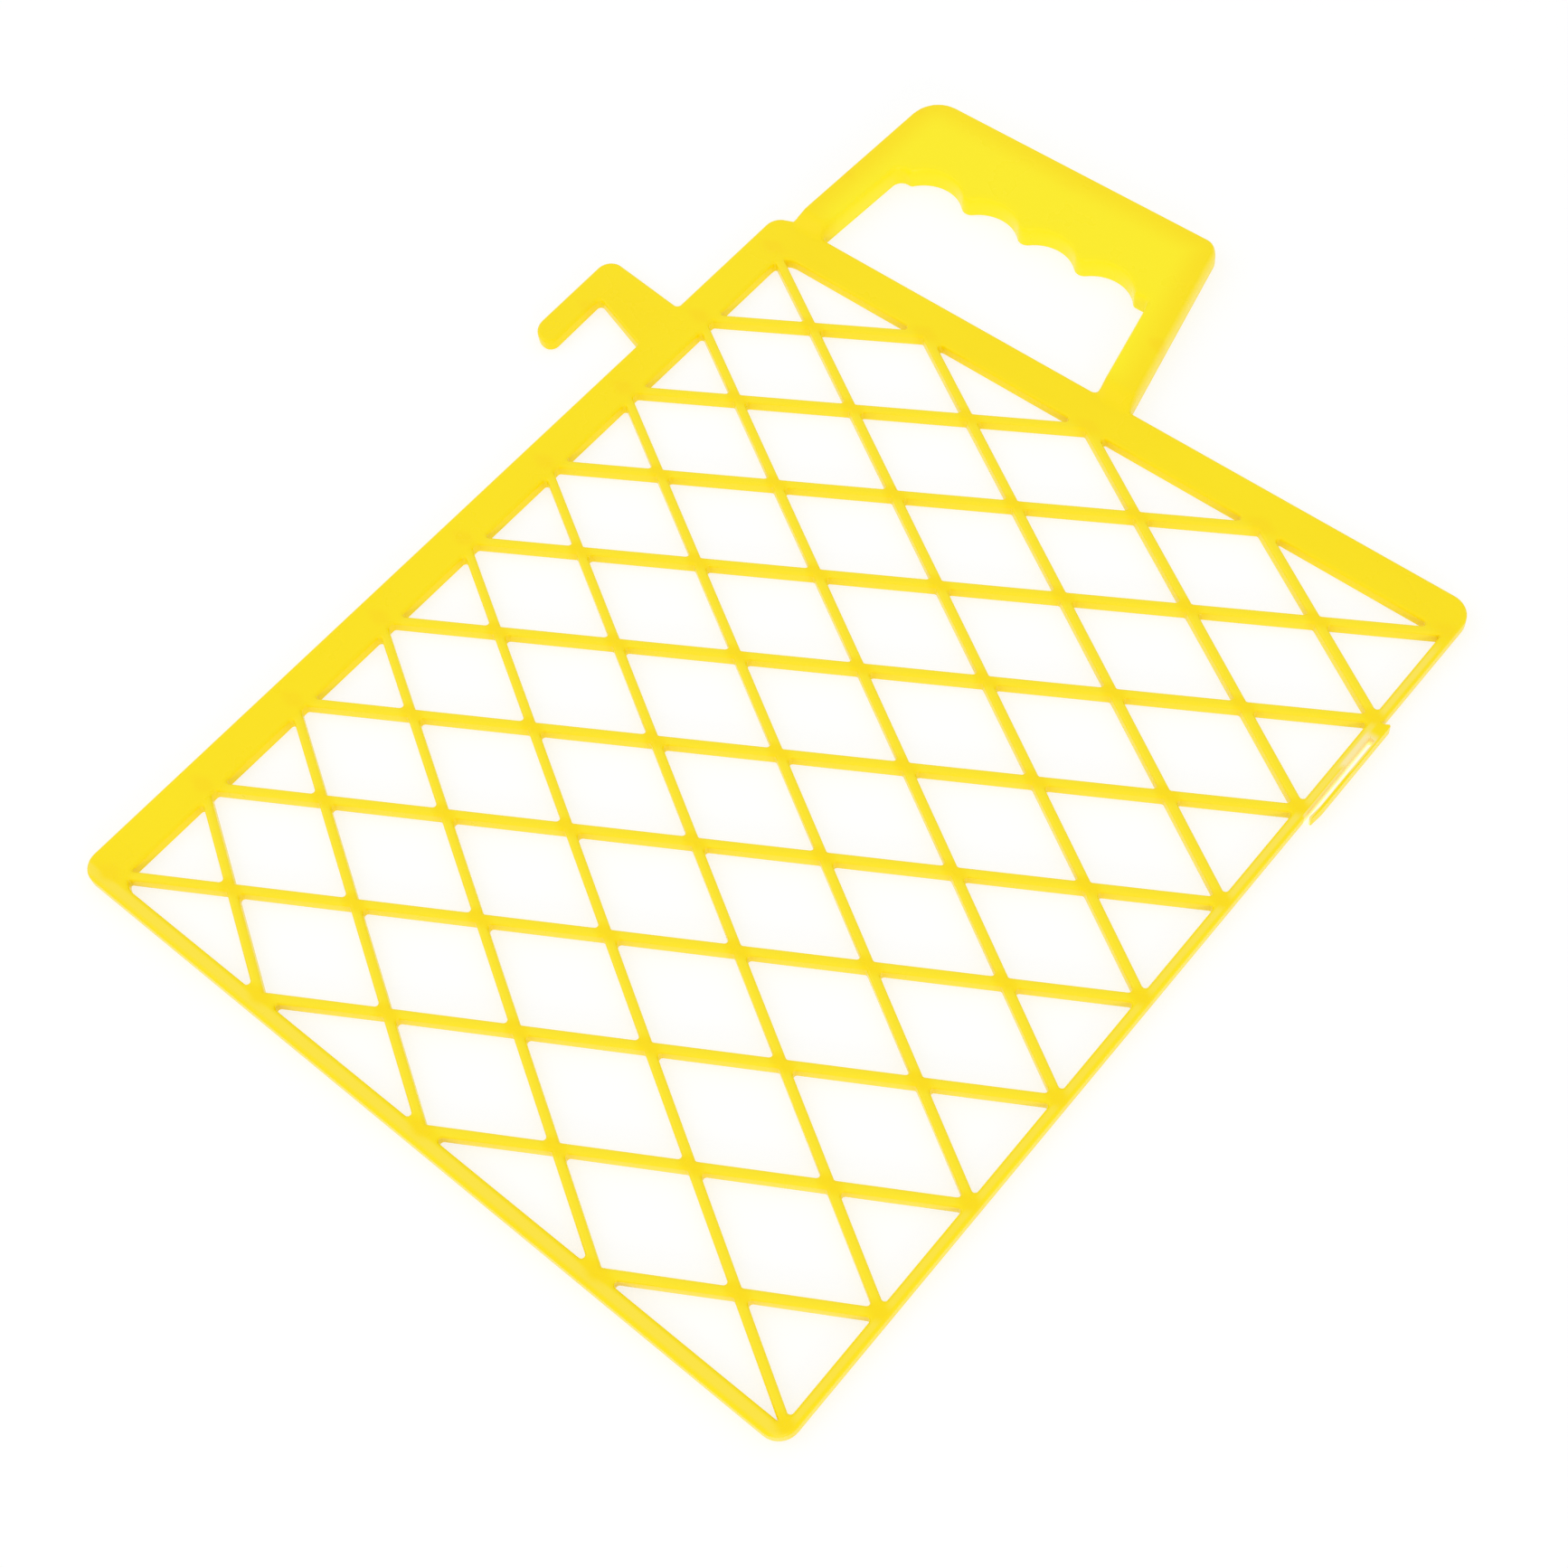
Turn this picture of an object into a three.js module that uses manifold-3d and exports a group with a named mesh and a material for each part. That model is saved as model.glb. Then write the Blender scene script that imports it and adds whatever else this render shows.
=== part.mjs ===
// A paint roller grid: a flat moulded plastic lattice that hangs in a paint bucket.
//
// Two families of thin ribs cross at 60 degrees inside a frame of four rails. A hand grip
// with finger grooves stands on the top rail, a hook hangs from the left rail and a narrow
// clip from the right one. The grid lies flat: +X runs across it, +Y towards the grip and
// +Z out of its face. Its underside is at z = 0. All sizes are in millimetres.
//
// Inside the panel group the origin is the top left node of the lattice, where the lines
// of the left and top rails meet. The group moves the whole grid so that the part's origin
// is under the middle of its bounding box.

import * as THREE from "three";
import { mergeVertices } from "three/addons/utils/BufferGeometryUtils.js";
import Module from "manifold-3d";

const wasm = await Module();
wasm.setup();

// ---- Driving dimensions -------------------------------------------------------------

// Clearance kept between two pieces that meet, and the smaller one between two rib ends.
const GAP = 0.3;

// The lattice: nodes every PITCH_X across and PITCH_Y down, ribs at 30 degrees to X.
const COLUMNS = 4;
const ROWS = 8;
const PITCH_Y = 32;
const PITCH_X = PITCH_Y * Math.sqrt(3);
const WIDTH = COLUMNS * PITCH_X;
const LENGTH = ROWS * PITCH_Y;

// The moulding's thickness, and the ribs' section.
const THICKNESS = 3.6;
const RIB_WIDTH = 2.5;
const RIB_CHAMFER = 0.5;

// The rails' edges, as distances from the lines of nodes that they follow.
const LEFT_RAIL = { outer: -7.4, inner: 4 };
const TOP_RAIL = { outer: 10.5, inner: -0.6 };
const RIGHT_RAIL = { outer: WIDTH + 2, inner: WIDTH - 0.85 };
const BOTTOM_RAIL = { outer: -LENGTH - 4.15, inner: -LENGTH - 0.1 };
const CORNER_RADIUS = 6.5;
const LOWER_CORNER_RADIUS = 5.5;
const LOWER_CORNER_HEIGHT = 7;

// The grip: a shell that is open underneath, thicker than the panel.
const HANDLE_HEIGHT = 6.3;
const HANDLE_WALL = 2.2;
const GRIP_TOP = 71.6;
const GRIP_LEFT_RADIUS = 9.5;
const GRIP_RIGHT_RADIUS = 4.6;
const GRIP_SEAM = 39.5;

// The grip's slanted edges, as x at y = 0 and the change in x for each millimetre of y.
const LEFT_OUTER_EDGE = { x: -1.7, slope: 0.037 };
const LEFT_INNER_EDGE = { x: 8.72, slope: 0.056 };
const RIGHT_OUTER_EDGE = { x: 119.5, slope: -0.2326 };
const RIGHT_INNER_EDGE = { x: 108.5, slope: -0.223 };

// The finger grooves: a row of arcs, with the ridges between them rounded over. The row's
// ends run out into a ledge that is a little lower than the ridges.
const GROOVES = 4;
const GROOVE_PITCH = 20;
const GROOVE_RADIUS = 11.8;
const GROOVE_TOP = 47.95;
const FIRST_GROOVE_X = 24.8;
const RIDGE_RADIUS = 3;
const LEDGE = 43.35;
const LEDGE_RADIUS = 1.4;
const OPENING_LEFT_RADIUS = 3;
const OPENING_RIGHT_RADIUS = 1.5;

// The hook: a tapered arm out from the left rail, and a leg that runs down from it and
// leans a little towards the rail.
const HOOK_OUTER = -36.2;
const HOOK_LEG_WIDTH = 8.3;
const HOOK_LEG_LEAN = 0.5;
const HOOK_ARM_TOP = { atRail: -33, atLeg: -30.3 };
const HOOK_ARM_BOTTOM = { atRail: -49.8, atLeg: -43.5 };
const HOOK_LEG_END = -64.6;
const HOOK_CORNER_RADIUS = 4.5;
const HOOK_END_RADIUS = { outer: 5.5, inner: 2.7 };
const HOOK_THROAT_RADIUS = 1;

// The clip: a thin blade beside the right rail, joined to it by a bridge at its top.
const CLIP_SLOT = 1.4;
const CLIP_BLADE = 0.8;
const CLIP_TOP = -31.2;
const CLIP_TOP_SLANT = 1.4;
const CLIP_BRIDGE_END = -37.5;
const CLIP_BLADE_BEND = -61;
const CLIP_BLADE_END = -65;
const CLIP_TIP_INSET = 0.45;

const ARC_STEPS = 6;

const yellow = new THREE.MeshStandardMaterial({
  name: "yellow_polypropylene",
  color: 0xfbe620,
  roughness: 0.34,
  metalness: 0,
});

// ---- Outlines and solids ------------------------------------------------------------

const radians = THREE.MathUtils.degToRad;

// The points of an arc about (x, y), between two angles in degrees.
function arcPoints(x, y, radius, from, to) {
  return Array.from({ length: ARC_STEPS + 1 }, (_, i) => {
    const angle = radians(from + ((to - from) * i) / ARC_STEPS);
    return [x + radius * Math.cos(angle), y + radius * Math.sin(angle)];
  });
}

// One corner [x, y, radius] of an outline, as the points of the arc that rounds it.
function roundCorner([x, y, radius = 0], before, after) {
  if (radius === 0) return [[x, y]];
  const corner = new THREE.Vector2(x, y);
  const back = new THREE.Vector2(before[0], before[1]).sub(corner).normalize();
  const ahead = new THREE.Vector2(after[0], after[1]).sub(corner).normalize();
  const half = Math.acos(THREE.MathUtils.clamp(back.dot(ahead), -1, 1)) / 2;
  const middle = back.clone().add(ahead).normalize();
  const centre = corner.clone().addScaledVector(middle, radius / Math.sin(half));
  const turn = Math.sign(back.cross(ahead));
  const start = back.clone().multiplyScalar(radius / Math.tan(half)).add(corner).sub(centre);
  const from = THREE.MathUtils.radToDeg(start.angle());
  const sweep = -turn * (180 - 2 * THREE.MathUtils.radToDeg(half));
  return arcPoints(centre.x, centre.y, radius, from, from + sweep);
}

// A closed outline through corners [x, y] or [x, y, radius].
function outline(corners) {
  const points = corners.flatMap((corner, i) =>
    roundCorner(corner, corners.at(i - 1), corners[(i + 1) % corners.length]),
  );
  return new THREE.Shape(points.map(([x, y]) => new THREE.Vector2(x, y)));
}

// An upright prism of an outline, from one height to another.
function prism(corners, bottom, top) {
  const options = { depth: top - bottom, bevelEnabled: false };
  return new THREE.ExtrudeGeometry(outline(corners), options).translate(0, 0, bottom);
}

function solidOf(geometry) {
  const bare = new THREE.BufferGeometry();
  bare.setAttribute("position", geometry.getAttribute("position"));
  bare.setIndex(geometry.index);
  const merged = mergeVertices(bare, 1e-4);
  return new wasm.Manifold(
    new wasm.Mesh({
      numProp: 3,
      vertProperties: merged.getAttribute("position").array,
      triVerts: new Uint32Array(merged.index.array),
    }),
  );
}

function geometryOf(solid) {
  const { vertProperties, triVerts } = solid.getMesh();
  const indexed = new THREE.BufferGeometry();
  indexed.setAttribute("position", new THREE.BufferAttribute(vertProperties, 3));
  indexed.setIndex(new THREE.BufferAttribute(triVerts, 1));
  const flat = indexed.toNonIndexed();
  flat.computeVertexNormals();
  return flat;
}

function named(name, geometry) {
  const mesh = new THREE.Mesh(geometry, yellow);
  mesh.name = name;
  return mesh;
}

// ---- Frame --------------------------------------------------------------------------

function makeLeftRail() {
  const { outer, inner } = LEFT_RAIL;
  const corners = [
    [outer, BOTTOM_RAIL.outer, LOWER_CORNER_RADIUS],
    [inner, BOTTOM_RAIL.outer],
    [inner, TOP_RAIL.outer],
    [outer, TOP_RAIL.outer, CORNER_RADIUS],
  ];
  return named("left_rail", prism(corners, 0, THICKNESS));
}

function makeTopRail() {
  const start = LEFT_RAIL.inner + GAP;
  const corners = [
    [start, TOP_RAIL.inner],
    [RIGHT_RAIL.outer, TOP_RAIL.inner],
    [RIGHT_RAIL.outer, TOP_RAIL.outer, CORNER_RADIUS],
    [start, TOP_RAIL.outer],
  ];
  return named("top_rail", prism(corners, 0, THICKNESS));
}

function makeRightRail() {
  const bottom = BOTTOM_RAIL.outer + LOWER_CORNER_HEIGHT + GAP;
  const corners = [
    [RIGHT_RAIL.inner, bottom],
    [RIGHT_RAIL.outer, bottom],
    [RIGHT_RAIL.outer, TOP_RAIL.inner - GAP],
    [RIGHT_RAIL.inner, TOP_RAIL.inner - GAP],
  ];
  return named("right_rail", prism(corners, 0, THICKNESS));
}

// The bottom rail turns the lower right corner and carries a stub of the right rail.
function makeBottomRail() {
  const start = LEFT_RAIL.inner + GAP;
  const stubTop = BOTTOM_RAIL.outer + LOWER_CORNER_HEIGHT;
  const corners = [
    [start, BOTTOM_RAIL.outer],
    [RIGHT_RAIL.outer, BOTTOM_RAIL.outer, LOWER_CORNER_RADIUS],
    [RIGHT_RAIL.outer, stubTop],
    [RIGHT_RAIL.inner, stubTop],
    [RIGHT_RAIL.inner, BOTTOM_RAIL.inner],
    [start, BOTTOM_RAIL.inner],
  ];
  return named("bottom_rail", prism(corners, 0, THICKNESS));
}

// ---- Lattice ------------------------------------------------------------------------

// A bar along the XY direction of `along`, centred on `middle`, of a section whose points
// are [sideways, height].
function bar(section, middle, along, length) {
  const up = new THREE.Vector3(0, 0, 1);
  const sideways = new THREE.Vector3(-along.y, along.x, 0);
  const turn = new THREE.Matrix4().makeBasis(sideways, up, along);
  return prism(section, -length / 2, length / 2)
    .applyMatrix4(turn)
    .translate(middle.x, middle.y, 0);
}

function rectangle(width, bottom, top) {
  return [
    [-width / 2, bottom],
    [width / 2, bottom],
    [width / 2, top],
    [-width / 2, top],
  ];
}

const RIB_SECTION = [
  [-RIB_WIDTH / 2, 0],
  [RIB_WIDTH / 2, 0],
  [RIB_WIDTH / 2, THICKNESS - RIB_CHAMFER],
  [RIB_WIDTH / 2 - RIB_CHAMFER, THICKNESS],
  [RIB_CHAMFER - RIB_WIDTH / 2, THICKNESS],
  [-RIB_WIDTH / 2, THICKNESS - RIB_CHAMFER],
];

const nodeAt = (column, row) => new THREE.Vector3(column * PITCH_X, -row * PITCH_Y, 0);

// The centre line of a rib, from its left end to its right end. A rising rib joins the
// nodes where column + row is `index`, and a falling one those where row - column is.
function ribLine(rising, index) {
  if (rising) {
    const first = Math.max(0, index - ROWS);
    const last = Math.min(COLUMNS, index);
    return [nodeAt(first, index - first), nodeAt(last, index - last)];
  }
  const first = Math.max(0, -index);
  const last = Math.min(COLUMNS, ROWS - index);
  return [nodeAt(first, index + first), nodeAt(last, index + last)];
}

// The box that a rib may fill: between its two end nodes, and inside the rails. Where two
// ribs run into the same node, it stops each of them at the line between the two.
function ribReach([start, end]) {
  const left = Math.max(start.x + GAP / 2, LEFT_RAIL.inner + GAP);
  const right = Math.min(end.x - GAP / 2, RIGHT_RAIL.inner - GAP);
  const low = Math.max(Math.min(start.y, end.y) + GAP / 2, BOTTOM_RAIL.inner + GAP);
  const high = Math.min(Math.max(start.y, end.y) - GAP / 2, TOP_RAIL.inner - GAP);
  const corners = [
    [left, low],
    [right, low],
    [right, high],
    [left, high],
  ];
  return solidOf(prism(corners, -1, THICKNESS + 1));
}

const RISING = Array.from({ length: COLUMNS + ROWS - 1 }, (_, i) => i + 1);
const FALLING = Array.from({ length: COLUMNS + ROWS - 1 }, (_, i) => i + 1 - COLUMNS);

// The node where a rising and a falling rib cross, or null where they don't.
function crossing(risingIndex, fallingIndex) {
  const column = (risingIndex - fallingIndex) / 2;
  const row = (risingIndex + fallingIndex) / 2;
  const inside = column > 0 && column < COLUMNS && row > 0 && row < ROWS;
  return inside ? nodeAt(column, row) : null;
}

// Crossing ribs are halved into each other: a rising rib keeps its upper half over the
// crossing, and a falling rib its lower half.
function makeRib(rising, index, number) {
  const line = ribLine(rising, index);
  const along = line[1].clone().sub(line[0]);
  const length = along.length() + 2 * RIB_WIDTH;
  const middle = line[0].clone().add(line[1]).multiplyScalar(0.5);
  let rib = solidOf(bar(RIB_SECTION, middle, along.normalize(), length)).intersect(ribReach(line));

  const half = THICKNESS / 2;
  const notchWidth = RIB_WIDTH + 2 * GAP;
  const notch = rising
    ? rectangle(notchWidth, -1, half + GAP / 2)
    : rectangle(notchWidth, half - GAP / 2, THICKNESS + 1);
  const across = new THREE.Vector3(along.x, -along.y, 0);
  for (const other of rising ? FALLING : RISING) {
    const point = rising ? crossing(index, other) : crossing(other, index);
    if (point) rib = rib.subtract(solidOf(bar(notch, point, across, 4 * RIB_WIDTH)));
  }
  const family = rising ? "rib_rising" : "rib_falling";
  return named(`${family}_${String(number).padStart(2, "0")}`, geometryOf(rib));
}

// ---- Handle -------------------------------------------------------------------------

const xAt = (edge, y) => edge.x + edge.slope * y;

// The lower edge of the grip, from left to right: the ledge's end, then the grooves for the
// fingers with a ridge after each, and the other end of the ledge.
function grooveEdge() {
  const grooveY = GROOVE_TOP - GROOVE_RADIUS;
  const reach = GROOVE_RADIUS + RIDGE_RADIUS;
  const ridgeY = grooveY + Math.sqrt(reach ** 2 - (GROOVE_PITCH / 2) ** 2);
  const lean = THREE.MathUtils.radToDeg(Math.acos(GROOVE_PITCH / 2 / reach));

  const ledgeY = LEDGE + LEDGE_RADIUS;
  const ledgeReach = GROOVE_RADIUS + LEDGE_RADIUS;
  const ledgeX = Math.sqrt(ledgeReach ** 2 - (ledgeY - grooveY) ** 2);
  const ledgeLean = THREE.MathUtils.radToDeg(Math.acos(ledgeX / ledgeReach));

  const left = FIRST_GROOVE_X - ledgeX;
  const points = arcPoints(left, ledgeY, LEDGE_RADIUS, -90, -ledgeLean);
  for (let i = 0; i < GROOVES; i++) {
    const x = FIRST_GROOVE_X + i * GROOVE_PITCH;
    const last = i === GROOVES - 1;
    const from = 180 - (i === 0 ? ledgeLean : lean);
    const to = last ? ledgeLean : lean;
    points.push(...arcPoints(x, grooveY, GROOVE_RADIUS, from, to).slice(1, -1));
    points.push(
      ...(last
        ? arcPoints(x + ledgeX, ledgeY, LEDGE_RADIUS, ledgeLean - 180, -90)
        : arcPoints(x + GROOVE_PITCH / 2, ridgeY, RIDGE_RADIUS, lean - 180, -lean)),
    );
  }
  return points;
}

// The hollow under the handle, which runs through the grip and down both legs.
function handleHollow() {
  const roof = HANDLE_HEIGHT - HANDLE_WALL;
  const top = GRIP_TOP - HANDLE_WALL;
  const gripBottom = GROOVE_TOP + HANDLE_WALL;
  const legBottom = TOP_RAIL.outer + GAP + HANDLE_WALL;
  const corners = [
    [xAt(LEFT_OUTER_EDGE, legBottom) + HANDLE_WALL, legBottom],
    [xAt(LEFT_INNER_EDGE, legBottom) - HANDLE_WALL, legBottom],
    [xAt(LEFT_INNER_EDGE, gripBottom) - HANDLE_WALL, gripBottom],
    [xAt(RIGHT_INNER_EDGE, gripBottom) + HANDLE_WALL, gripBottom],
    [xAt(RIGHT_INNER_EDGE, legBottom) + HANDLE_WALL, legBottom],
    [xAt(RIGHT_OUTER_EDGE, legBottom) - HANDLE_WALL, legBottom],
    [xAt(RIGHT_OUTER_EDGE, top) - HANDLE_WALL, top, GRIP_RIGHT_RADIUS - HANDLE_WALL],
    [xAt(LEFT_OUTER_EDGE, top) + HANDLE_WALL, top, GRIP_LEFT_RADIUS - HANDLE_WALL],
  ];
  return solidOf(prism(corners, -1, roof));
}

function makeGrip(hollow) {
  const bottom = GRIP_SEAM + GAP / 2;
  const corners = [
    [xAt(LEFT_OUTER_EDGE, bottom), bottom],
    [xAt(LEFT_INNER_EDGE, bottom), bottom],
    [xAt(LEFT_INNER_EDGE, LEDGE), LEDGE, OPENING_LEFT_RADIUS],
    ...grooveEdge(),
    [xAt(RIGHT_INNER_EDGE, LEDGE), LEDGE, OPENING_RIGHT_RADIUS],
    [xAt(RIGHT_INNER_EDGE, bottom), bottom],
    [xAt(RIGHT_OUTER_EDGE, bottom), bottom],
    [xAt(RIGHT_OUTER_EDGE, GRIP_TOP), GRIP_TOP, GRIP_RIGHT_RADIUS],
    [xAt(LEFT_OUTER_EDGE, GRIP_TOP), GRIP_TOP, GRIP_LEFT_RADIUS],
  ];
  const grip = solidOf(prism(corners, 0, HANDLE_HEIGHT)).subtract(hollow);
  return named("handle_grip", geometryOf(grip));
}

function makeLeg(name, leftEdge, rightEdge, hollow) {
  const bottom = TOP_RAIL.outer + GAP;
  const top = GRIP_SEAM - GAP / 2;
  const corners = [
    [xAt(leftEdge, bottom), bottom],
    [xAt(rightEdge, bottom), bottom],
    [xAt(rightEdge, top), top],
    [xAt(leftEdge, top), top],
  ];
  const leg = solidOf(prism(corners, 0, HANDLE_HEIGHT)).subtract(hollow);
  return named(name, geometryOf(leg));
}

// ---- Hook and clip ------------------------------------------------------------------

function makeHook() {
  const root = LEFT_RAIL.outer - GAP;
  const legInner = HOOK_OUTER + HOOK_LEG_WIDTH;
  const corners = [
    [root, HOOK_ARM_BOTTOM.atRail],
    [root, HOOK_ARM_TOP.atRail],
    [HOOK_OUTER, HOOK_ARM_TOP.atLeg, HOOK_CORNER_RADIUS],
    [HOOK_OUTER + HOOK_LEG_LEAN, HOOK_LEG_END, HOOK_END_RADIUS.outer],
    [legInner + HOOK_LEG_LEAN, HOOK_LEG_END, HOOK_END_RADIUS.inner],
    [legInner, HOOK_ARM_BOTTOM.atLeg, HOOK_THROAT_RADIUS],
  ];
  return named("hanging_hook", prism(corners, 0, THICKNESS));
}

function makeClip() {
  const root = RIGHT_RAIL.outer + GAP;
  const inner = RIGHT_RAIL.outer + CLIP_SLOT;
  const outer = inner + CLIP_BLADE;
  const corners = [
    [root, CLIP_BRIDGE_END],
    [inner, CLIP_BRIDGE_END],
    [inner, CLIP_BLADE_BEND],
    [inner - CLIP_TIP_INSET, CLIP_BLADE_END],
    [outer - CLIP_TIP_INSET, CLIP_BLADE_END],
    [outer, CLIP_BLADE_BEND],
    [outer, CLIP_TOP],
    [root, CLIP_TOP - CLIP_TOP_SLANT],
  ];
  return named("rim_clip", prism(corners, 0, THICKNESS));
}

// ---- Assembly -----------------------------------------------------------------------

const panel = new THREE.Group();
panel.add(makeLeftRail(), makeTopRail(), makeRightRail(), makeBottomRail());
RISING.forEach((index, i) => panel.add(makeRib(true, index, i + 1)));
FALLING.forEach((index, i) => panel.add(makeRib(false, index, i + 1)));

const hollow = handleHollow();
panel.add(
  makeGrip(hollow),
  makeLeg("handle_left_leg", LEFT_OUTER_EDGE, LEFT_INNER_EDGE, hollow),
  makeLeg("handle_right_leg", RIGHT_INNER_EDGE, RIGHT_OUTER_EDGE, hollow),
);
panel.add(makeHook(), makeClip());

const clipOuter = RIGHT_RAIL.outer + CLIP_SLOT + CLIP_BLADE;
panel.position.set(-(HOOK_OUTER + clipOuter) / 2, -(GRIP_TOP + BOTTOM_RAIL.outer) / 2, 0);

const rollerGrid = new THREE.Group();
rollerGrid.add(panel);

export default rollerGrid;
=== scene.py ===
"""A yellow plastic paint roller grid, one moulding with a lattice, a grip, a hook and a clip.

The moulding's surface is made once, as one closed mesh with rounded edges and filleted
corners. It is then cut into one closed piece for each CAD node, along the same borders, and
each piece keeps the whole surface's normals, so that no seam shows. Outlines are worked out
in millimetres from the lattice's top left node, with x to the right and y towards the grip.
"""

import math

import bpy
import numpy as np
from mathutils import Matrix, Vector
from mathutils.bvhtree import BVHTree
from mathutils.geometry import delaunay_2d_cdt
from mathutils.interpolate import poly_3d_calc


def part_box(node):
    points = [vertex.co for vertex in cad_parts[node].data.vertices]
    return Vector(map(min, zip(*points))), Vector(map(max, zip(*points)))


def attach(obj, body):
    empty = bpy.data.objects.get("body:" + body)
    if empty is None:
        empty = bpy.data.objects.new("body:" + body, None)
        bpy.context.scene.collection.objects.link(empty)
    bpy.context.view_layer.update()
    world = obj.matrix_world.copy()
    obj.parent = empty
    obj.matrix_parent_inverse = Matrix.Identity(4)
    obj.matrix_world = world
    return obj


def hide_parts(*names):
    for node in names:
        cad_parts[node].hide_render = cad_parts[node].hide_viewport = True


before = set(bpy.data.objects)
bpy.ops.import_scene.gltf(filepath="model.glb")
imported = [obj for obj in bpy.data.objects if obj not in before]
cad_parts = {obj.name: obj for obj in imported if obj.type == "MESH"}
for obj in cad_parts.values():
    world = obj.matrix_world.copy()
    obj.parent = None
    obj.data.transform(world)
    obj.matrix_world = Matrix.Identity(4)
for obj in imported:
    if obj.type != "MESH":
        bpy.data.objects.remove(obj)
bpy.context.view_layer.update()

MM = 0.001

# ---- Sizes in millimetres, the same as the CAD's ------------------------------------

COLUMNS, ROWS = 4, 8
PITCH_Y = 32.0
PITCH_X = PITCH_Y * math.sqrt(3)
LENGTH = ROWS * PITCH_Y
RIB_WIDTH = 2.5
LEFT_OVERHANG = 7.4
TOP_OVERHANG = 10.5
BOTTOM_DROP = 0.1

RAIL_LOW, RAIL_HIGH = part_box("left_rail")
NODE_X = RAIL_LOW.x / MM + LEFT_OVERHANG
NODE_Y = RAIL_HIGH.y / MM - TOP_OVERHANG
THICKNESS = RAIL_HIGH.z / MM


def edge(node, side, axis):
    """Where a CAD node's box ends, in millimetres from the lattice's top left node."""
    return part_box(node)[side][axis] / MM - (NODE_X, NODE_Y)[axis]


LOW, HIGH = 0, 1
LEFT_OUT, LEFT_IN = edge("left_rail", LOW, 0), edge("left_rail", HIGH, 0)
TOP_IN, TOP_OUT = edge("top_rail", LOW, 1), edge("top_rail", HIGH, 1)
RIGHT_IN, RIGHT_OUT = edge("right_rail", LOW, 0), edge("right_rail", HIGH, 0)
BOTTOM_OUT = edge("bottom_rail", LOW, 1)
BOTTOM_IN = -LENGTH - BOTTOM_DROP
STUB_TOP = edge("bottom_rail", HIGH, 1)
HALF_GAP = 0.15

GRIP_TOP = edge("handle_grip", HIGH, 1)
GRIP_SEAM = edge("handle_grip", LOW, 1) - HALF_GAP
HANDLE_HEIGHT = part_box("handle_grip")[HIGH].z / MM
HANDLE_WALL = 2.2
GRIP_LEFT_RADIUS, GRIP_RIGHT_RADIUS = 9.5, 4.6
LEFT_OUTER_EDGE = (-1.7, 0.037)
LEFT_INNER_EDGE = (8.72, 0.056)
RIGHT_OUTER_EDGE = (119.5, -0.2326)
RIGHT_INNER_EDGE = (108.5, -0.223)

GROOVES, GROOVE_PITCH, FIRST_GROOVE_X = 4, 20.0, 24.8
GROOVE_RADIUS, GROOVE_TOP, RIDGE_RADIUS = 11.8, 47.95, 3.0
LEDGE, LEDGE_RADIUS = 43.35, 1.4

HOOK_OUT, HOOK_END = edge("hanging_hook", LOW, 0), edge("hanging_hook", LOW, 1)
HOOK_LEG_WIDTH, HOOK_LEG_LEAN = 8.3, 0.5
HOOK_ARM_TOP, HOOK_ARM_BOTTOM = (-33.0, -30.3), (-49.8, -43.5)

CLIP_OUT, CLIP_END = edge("rim_clip", HIGH, 0), edge("rim_clip", LOW, 1)
CLIP_IN = RIGHT_OUT + 1.4
CLIP_TOP, CLIP_TOP_SLANT, CLIP_BRIDGE_END = edge("rim_clip", HIGH, 1), 1.4, -37.5
CLIP_BEND, CLIP_TIP_INSET = -61.0, 0.45

# ---- The moulding's edges, only in the visual model ---------------------------------

TOP_ROUND, BOTTOM_ROUND, CLIP_ROUND = 0.9, 0.3, 0.22
SUPPORT = 0.12
ROUND_STEPS, FOOT_STEPS = 5, 3
FILLET = 0.8
LEFT_INNER_CORNER, RIGHT_INNER_CORNER = 5.0, 2.0
OUTER_CORNER, TOP_RIGHT_CORNER, SHOULDER_CORNER = 5.5, 6.5, 5.0
LEG_CORNER, OPENING_CORNER, LEDGE_LEFT_CORNER = 1.5, 1.5, 3.0
HOOK_ROOT, HOOK_OUTER_CORNER, HOOK_TIP_OUTER, HOOK_TIP_INNER = 1.2, 4.5, 5.5, 2.7
CLIP_SLOT_CORNER, CLIP_TIP_CORNER, CLIP_BEND_RADIUS = 0.4, 0.35, 8.0
CLIP_TOP_CORNER, CLIP_ROOT_CORNER = 0.45, 0.5
LEFT_LEG_FOOT, LEFT_SHOULDER = 11.2, 8.9
HOLLOW_CORNER, HOLLOW_LEDGE_CORNER, HOLLOW_RIDGE, HOLLOW_FOOT = 1.5, 1.0, 1.2, 2.5
SHOULDER = 1.4
RISE_BELOW, RISE_LENGTH = 2.0, 6.0
ROOF_THICKNESS = 2.0
ROOF_FILLET = 0.8
OUTLINE_STEP, SURFACE_STEP, SURFACE_MARGIN = 3.0, 1.2, 0.5
SHORTEST_SIDE, FILLET_SHARE, SMALLEST_CELL = 0.3, 0.45, 20.0

# ---- Outlines: material always lies to the left of the path -------------------------


def arc(x, y, radius, start, end, steps=8):
    """Points of an arc about (x, y) between two angles in degrees."""
    angles = np.radians(np.linspace(start, end, steps + 1))
    return np.stack([x + radius * np.cos(angles), y + radius * np.sin(angles)], 1)


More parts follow.
